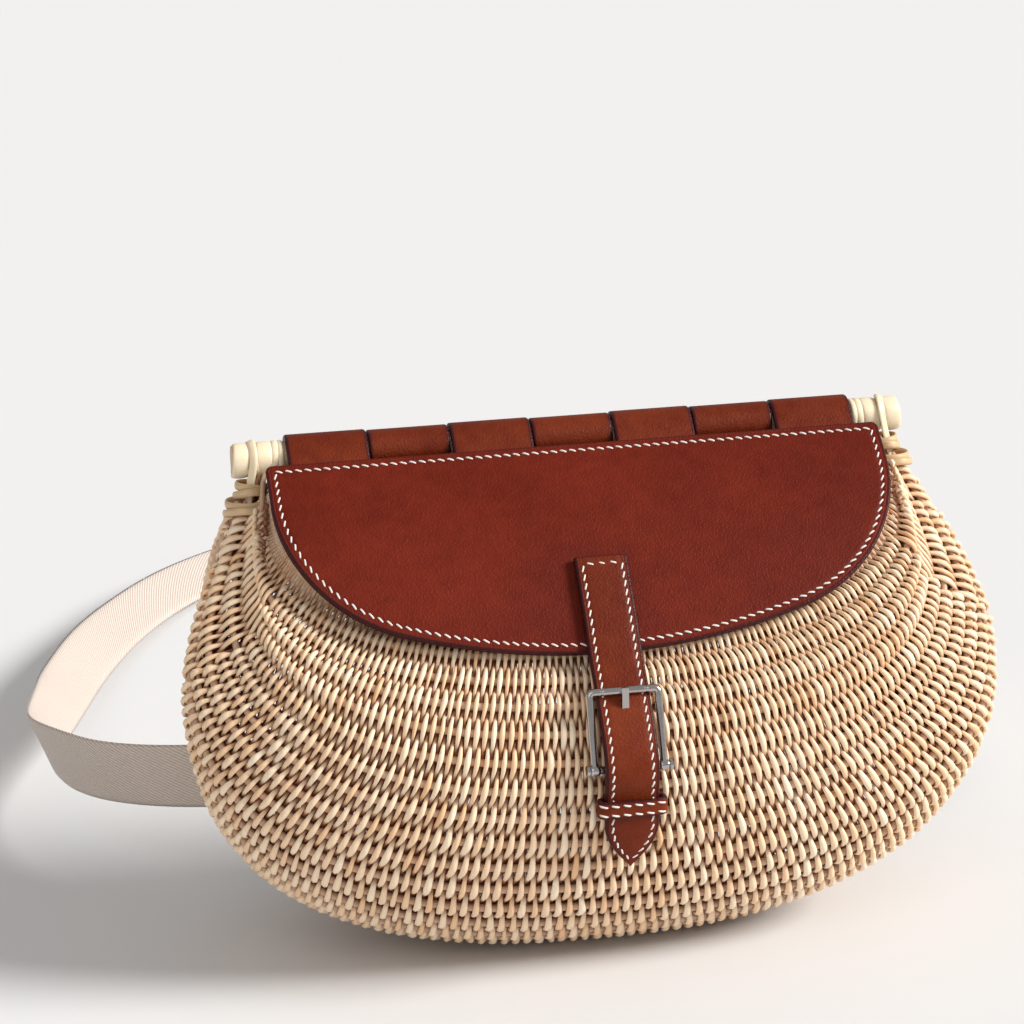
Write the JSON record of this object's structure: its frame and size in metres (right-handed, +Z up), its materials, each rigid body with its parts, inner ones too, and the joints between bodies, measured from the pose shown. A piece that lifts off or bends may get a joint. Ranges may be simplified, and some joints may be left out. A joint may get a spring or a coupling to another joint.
{
  "type": "basket bag",
  "caption": "Woven basket bag with a hinged leather flap, a buckled strap and a webbing belt on its back.",
  "frame": {"origin": "middle of the flat patch on the underside that the basket stands on", "axes": "+Z up, +X along the top rod to the wearer's left when worn in front, -Y towards the flap's front"},
  "size_m": [0.366, 0.5347, 0.1731],
  "materials": {
    "wicker": "peeled willow and straw strands, satin",
    "rod": "peeled rod, satin",
    "cane": "flat binding cane, smooth",
    "leather": "smooth chestnut bridle leather, waxed",
    "leather_lining": "plain chestnut leather, matt",
    "thread": "waxed white linen thread",
    "webbing": "cream twill cotton webbing",
    "nickel": "polished nickel plate",
    "brass": "plain domed rivet"
  },
  "bodies": {
    "basket": {"back_facing": "leather", "basket_shell": "wicker", "belt_loop_left": "leather", "belt_loop_right": "leather", "buckle_tab": "leather", "facing_stitches": "thread", "loop_rivets": "brass", "mouth_rim": "rod", "neck_band_left": "cane", "neck_band_right": "cane", "rod_binding_left": "cane", "rod_binding_right": "cane", "strap_keeper": "leather", "top_rod": "rod", "webbing_belt": "webbing"},
    "flap": {"flap_eye_1": "leather", "flap_eye_2": "leather", "flap_eye_3": "leather", "flap_eye_4": "leather", "flap_lining": "leather_lining", "flap_panel": "leather", "closure_strap": "leather"},
    "buckle": {"buckle_frame": "nickel", "heel_bar": "nickel"},
    "prong": {"buckle_prong": "nickel"}
  },
  "joints": [
    {"name": "flap_hinge", "type": "hinge", "parent": "basket", "child": "flap", "pos_m": [0, 0.027, 0.1656], "axis": [-1, 0, 0], "range_deg": [0, 215], "deforming": ["closure_strap"]},
    {"name": "buckle_swing", "type": "hinge", "parent": "basket", "child": "buckle", "pos_m": [0, -0.0606, 0.0792], "axis": [1, 0, 0], "range_deg": [0, 80], "deforming": ["closure_strap"]},
    {"name": "prong_swing", "type": "hinge", "parent": "buckle", "child": "prong", "pos_m": [0, -0.0606, 0.0792], "axis": [1, 0, 0], "range_deg": [0, 70], "deforming": ["closure_strap"]}
  ]
}
